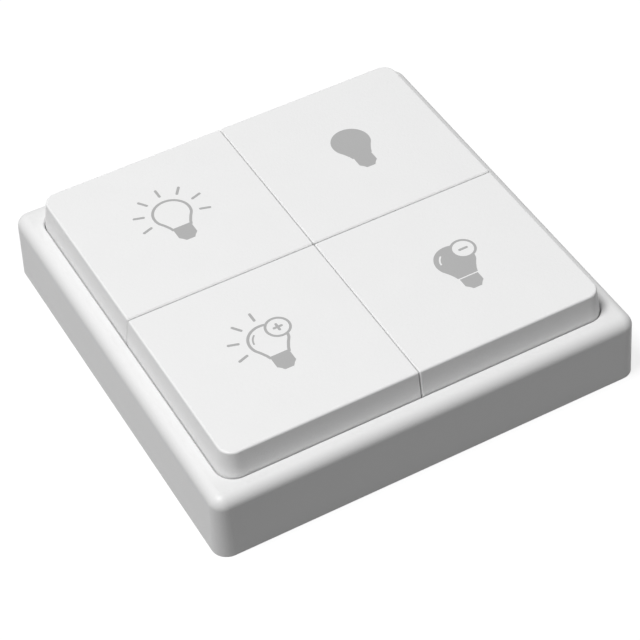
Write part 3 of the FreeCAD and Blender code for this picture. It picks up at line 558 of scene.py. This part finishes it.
def light_rays(angles):
    """A light ray at each angle."""
    ray = ink(move(bar_shape(RAY_END - RAY_START, STROKE), (0, (RAY_START + RAY_END) / 2, 0)))
    rays = [turn(copied(ray), angle - 90) for angle in angles]
    bpy.data.objects.remove(ray)
    return rays


def shine_shape():
    """The reflection on the glass: a short arc, cut from a ring."""
    arc = outline(disc_shape(SHINE_RADIUS + SHINE_WIDTH / 2, BULB_SIDES), SHINE_WIDTH)
    open_mesh(arc, "FACE")
    for angle, side in ((SHINE_FROM, 1), (SHINE_TO, -1)):
        bpy.ops.mesh.select_all(action="SELECT")
        across = math.radians(angle + 90)
        keep = (side * math.cos(across), side * math.sin(across), 0)
        bpy.ops.mesh.bisect(plane_co=(0, 0, 0), plane_no=keep, clear_inner=True, threshold=IN_PLANE)
    close_mesh()
    return arc


def badge_sign(kind):
    """A plus or a minus, about the origin."""
    sign = ink(turn(bar_shape(SIGN_LENGTH, SIGN_STROKE), 90))
    if kind == "plus":
        carve(sign, ink(bar_shape(SIGN_LENGTH, SIGN_STROKE)), "UNION")
    return sign


def pictogram(glass, cap, lit, rays, sign):
    """A bulb with its cap; an outline where the key gives light, solid where it takes it away."""
    bulb = ink(outline(glass, STROKE) if lit else glass)
    if sign and not lit:
        carve(bulb, cutter(shine_shape()), "DIFFERENCE")
    if sign:
        carve(bulb, cutter(move(disc_shape(BADGE_RADIUS, BADGE_SIDES), BADGE_OFFSET)), "DIFFERENCE")
        ring = outline(disc_shape(BADGE_RADIUS + BADGE_STROKE / 2, BADGE_SIDES), BADGE_STROKE)
        carve(bulb, ink(move(ring, BADGE_OFFSET)), "UNION")
    carve(bulb, cap, "UNION")
    if sign and not lit:
        slit = move(plate_shape(2 * BULB_RADIUS, SLIT_WIDTH), (0, -SLIT_DEPTH, 0))
        carve(bulb, cutter(slit), "DIFFERENCE")
    marks = light_rays(rays)
    if sign:
        marks.append(move(badge_sign(sign), BADGE_OFFSET))
    if sign and lit:
        marks.append(ink(shine_shape()))
    return joined([bulb] + marks)


def print_keys():
    """Prints a pictogram on the top of each key."""
    glass = bulb_shape()
    cap = ink(cap_shape())
    for key, lit, rays, sign in PICTOGRAMS:
        mark = pictogram(copied(glass), copied(cap), lit, rays, sign)
        mark.name = f"print_{key}"
        low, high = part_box(f"key_{key}")
        corner = [math.copysign(PRINT_HALF, low[axis] + high[axis]) for axis in (0, 1)]
        move(mark, PRINT_MIDDLE + Vector((*corner, high.z)))
        mark.data.materials.append(INK)
        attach(mark, f"key_{key}")
    bpy.data.objects.remove(glass)
    bpy.data.objects.remove(cap)


def middle_of(low, high):
    """The middle of a box, at height 0."""
    return Vector(((low.x + high.x) / 2, (low.y + high.y) / 2, 0.0))


def rivet():
    """A rivet's round head, rooted in the cover's sheet."""
    head = thicken(disc_shape(RIVET_RADIUS, RIVET_SIDES), COVER_SHEET / 2, RIVET_HEIGHT)
    return break_edges(head, RIVET_ROUND, RIVET_ROUND_SEGMENTS, lying_at("z", RIVET_HEIGHT))


def switch_covers():
    """A stamped plate on each push switch, open for the plunger, with a rivet in each corner."""
    low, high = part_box("tact_body_on")
    stem_low, stem_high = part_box("tact_plunger_on")
    side = high.x - low.x - 2 * COVER_INSET
    opening = stem_high.x - stem_low.x + 2 * COVER_PLAY
    cover = thicken(outline(plate_shape(side, side), (side - opening) / 2), 0, COVER_SHEET)
    break_edges(cover, COVER_CORNER, COVER_CORNER_SEGMENTS, upright_at(side / 2))
    head = rivet()
    for across in (-RIVET_AT, RIVET_AT):
        for along in (-RIVET_AT, RIVET_AT):
            carve(cover, move(copied(head), (across, along, 0)), "UNION")
    bpy.data.objects.remove(head)
    covers = []
    for key, *_ in PICTOGRAMS:
        low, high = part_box(f"tact_body_{key}")
        covers.append(move(copied(cover), middle_of(low, high) + Vector((0, 0, high.z))))
    bpy.data.objects.remove(cover)
    return joined(covers)


def contact_row(count, pitch, width, length):
    """Contacts in a row along X, which hang from height 0; their near ends lie on the X axis."""
    first = thicken(plate_shape(width, length), -CONTACT_HEIGHT, 0)
    move(first, (-pitch * (count - 1) / 2, -length / 2, 0))
    row = first.modifiers.new("row", "ARRAY")
    row.count = count
    row.use_relative_offset = False
    row.use_constant_offset = True
    row.constant_offset_displace = (pitch, 0, 0)
    only(first)
    bpy.ops.object.modifier_apply(modifier=row.name)
    return first


def antenna():
    """A trace folded to and fro, about the origin, which hangs from height 0."""
    run = thicken(plate_shape(ANTENNA_TRACE, ANTENNA_HEIGHT), -CONTACT_HEIGHT, 0)
    fold = thicken(plate_shape(ANTENNA_PITCH, ANTENNA_TRACE), -CONTACT_HEIGHT, 0)
    reach = ANTENNA_PITCH * (ANTENNA_RUNS - 1) / 2
    trace = move(copied(run), (-reach, 0, 0))
    for number in range(1, ANTENNA_RUNS):
        carve(trace, move(copied(run), (ANTENNA_PITCH * number - reach, 0, 0)), "UNION")
    for number in range(ANTENNA_RUNS - 1):
        across = ANTENNA_PITCH * (number + 0.5) - reach
        along = (ANTENNA_HEIGHT / 2 - ANTENNA_TRACE) * (-1) ** number
        carve(trace, move(copied(fold), (across, along, 0)), "UNION")
    bpy.data.objects.remove(run)
    bpy.data.objects.remove(fold)
    return trace


def board_contacts():
    """The gold contacts round the chip, along both sides of the radio board and in its antenna."""
    board_low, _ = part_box("circuit_board")
    low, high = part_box("controller_chip")
    contacts = []
    for quarter in range(4):
        row = move(contact_row(**CHIP_ROW), (0, (low.y - high.y) / 2, 0))
        turn(row, 90 * quarter)
        contacts.append(move(row, middle_of(low, high) + Vector((0, 0, board_low.z))))

    low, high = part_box("radio_board")
    _, shield_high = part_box("radio_shield")
    under = Vector((0, 0, low.z))
    for side in (-1, 1):
        row = move(contact_row(**RADIO_ROW), (0, (low.x - high.x) / 2 + RADIO_ROW["length"], 0))
        turn(row, 90 * side)
        contacts.append(move(row, middle_of(low, high) + under))
    free = middle_of(low, high)
    free.y = (shield_high.y + high.y) / 2
    contacts.append(move(antenna(), free + under))
    return joined(contacts)


def cell_seal():
    """The ring that seals the cell's cap in its can."""
    low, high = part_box("coin_cell")
    ring = thicken(outline(disc_shape(SEAL_OUTER, SEAL_SIDES), SEAL_WIDTH), 0, SEAL_HEIGHT)
    return move(ring, middle_of(low, high) + Vector((0, 0, high.z - CELL_CAP)))


def cell_plus():
    """The plus under the can's flat side, as thin as the ink."""
    low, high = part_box("coin_cell")
    plus = thicken(bar_shape(CELL_PLUS_LENGTH, CELL_PLUS_STROKE), -INK_DEPTH, INK_SUNK)
    carve(plus, turn(copied(plus), 90), "UNION")
    return move(plus, middle_of(low, high) + CELL_PLUS_AT + Vector((0, 0, low.z)))


def screw_head():
    """A hexagon head on height 0 with a cross recess."""
    head = turn(thicken(disc_shape(HEAD_RADIUS, HEAD_SIDES), 0, HEAD_HEIGHT), HEAD_TURN)
    break_edges(head, HEAD_BEVEL, HEAD_BEVEL_SEGMENTS, lying_at("z", HEAD_HEIGHT))
    recess = bar_shape(RECESS_LENGTH, RECESS_WIDTH)
    thicken(recess, HEAD_HEIGHT - RECESS_DEPTH, HEAD_HEIGHT + RECESS_DEPTH)
    carve(recess, turn(copied(recess), 90), "UNION")
    return carve(head, recess, "DIFFERENCE")


def screw_thread(low, high):
    """A threaded shank: one pitch of its outline, wound round the axis and cut off flat at both ends."""
    thread = plate_shape(THREAD_CORE, THREAD_CORE)
    open_mesh(thread, "VERT")
    bpy.ops.mesh.merge(type="CENTER")
    bpy.ops.transform.translate(value=(THREAD_CORE, 0, low - THREAD_PITCH))
    ridge = THREAD_CREST - THREAD_CORE
    for out, up in THREAD_OUTLINE:
        step = (out * ridge, 0, up * THREAD_PITCH)
        bpy.ops.mesh.extrude_vertices_move(TRANSFORM_OT_translate={"value": step})
    close_mesh()
    winding = thread.modifiers.new("winding", "SCREW")
    winding.screw_offset = THREAD_PITCH
    winding.iterations = math.ceil((high - low) / THREAD_PITCH) + 1
    winding.steps = THREAD_STEPS
    winding.render_steps = THREAD_STEPS
    bpy.ops.object.modifier_apply(modifier=winding.name)
    open_mesh(thread, "VERT")
    bpy.ops.mesh.remove_doubles(threshold=SPECK)
    for level, outwards in ((low, -1), (high, 1)):
        bpy.ops.mesh.select_all(action="SELECT")
        bpy.ops.mesh.bisect(plane_co=(0, 0, level), plane_no=(0, 0, outwards), use_fill=True,
                            clear_outer=True, threshold=IN_PLANE)
    bpy.ops.mesh.select_all(action="SELECT")
    bpy.ops.mesh.normals_make_consistent(inside=False)
    close_mesh()
    return thread


def carrier_screws():
    """Four screws in the corners of the key carrier."""
    low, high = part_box("carrier_screws")
    seat = high.z - HEAD_HEIGHT
    screw = carve(screw_head(), screw_thread(low.z - seat, SHANK_SUNK), "UNION")
    at = high.x - HEAD_RADIUS
    screws = [move(copied(screw), (across, along, seat)) for across in (-at, at) for along in (-at, at)]
    bpy.data.objects.remove(screw)
    return joined(screws)


def add_detail(piece, name, material):
    """Names and finishes a detail inside the housing."""
    piece.name = name
    piece.data.materials.clear()
    piece.data.materials.append(material)
    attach(piece, "housing")


def detail_electronics():
    """Adds the small pieces of the electronics and swaps the plain screws for threaded ones."""
    add_detail(switch_covers(), "switch_covers", FINISHES["tinned_steel"])
    add_detail(board_contacts(), "board_contacts", GOLD)
    add_detail(cell_seal(), "cell_seal", SEAL)
    add_detail(cell_plus(), "cell_plus", FINISHES["screw_steel"])
    screws = carrier_screws()
    add_detail(screws, "threaded_screws", FINISHES["screw_steel"])
    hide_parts("carrier_screws")


def lay_floor():
    """The paper under the switch."""
    bpy.ops.object.select_all(action="DESELECT")
    bpy.ops.mesh.primitive_plane_add(size=FLOOR_SIZE, location=(0, 0, FLOOR_LEVEL))
    floor = bpy.context.active_object
    floor.name = "studio_floor"
    floor.data.materials.append(floor_paper())


def light_sky():
    """An even sky: it lights the switch softly and is seen as white."""
    sky = bpy.data.worlds.new("studio_sky")
    sky.use_nodes = True
    sky.node_tree.nodes.clear()
    fill = add_node(sky, "ShaderNodeBackground", {"Color": linear(SKY_COLOUR), "Strength": SKY_LIGHT})
    shown = add_node(sky, "ShaderNodeBackground", {"Color": linear(SKY_COLOUR), "Strength": SKY_SHOWN})
    choice = add_node(sky, "ShaderNodeMixShader", None, {"Fac": looked_at(sky)})
    sky.node_tree.links.new(fill.outputs["Background"], choice.inputs[1])
    sky.node_tree.links.new(shown.outputs["Background"], choice.inputs[2])
    add_node(sky, "ShaderNodeOutputWorld", None, {"Surface": choice.outputs["Shader"]})
    bpy.context.scene.world = sky


def hang_softbox():
    """One square softbox, which faces the switch."""
    towards = SOFTBOX_TOWARDS.normalized()
    lamp = bpy.data.lights.new("softbox", "AREA")
    lamp.shape = "SQUARE"
    lamp.size = SOFTBOX_SIZE
    lamp.energy = SOFTBOX_POWER
    softbox = bpy.data.objects.new("softbox", lamp)
    softbox.location = towards * SOFTBOX_DISTANCE
    softbox.rotation_euler = towards.to_track_quat("Z", "Y").to_euler()
    bpy.context.scene.collection.objects.link(softbox)


def set_camera():
    """The camera at the fitted place, rolled about its own line of sight."""
    around, up = math.radians(CAMERA_AZIMUTH), math.radians(CAMERA_ELEVATION)
    towards = Vector((math.sin(around) * math.cos(up), -math.cos(around) * math.cos(up), math.sin(up)))
    lens = bpy.data.cameras.new("camera")
    lens.lens = CAMERA_LENS
    lens.sensor_width = CAMERA_SENSOR
    lens.clip_start = CAMERA_NEAR
    camera = bpy.data.objects.new("camera", lens)
    roll = Quaternion((0, 0, 1), math.radians(CAMERA_ROLL))
    camera.location = CAMERA_TARGET + towards * CAMERA_DISTANCE
    camera.rotation_euler = (towards.to_track_quat("Z", "Y") @ roll).to_euler()
    bpy.context.scene.collection.objects.link(camera)
    bpy.context.scene.camera = camera


dress_cad_nodes()
print_keys()
detail_electronics()
lay_floor()
light_sky()
hang_softbox()
set_camera()
bpy.context.scene.view_settings.view_transform = "Standard"
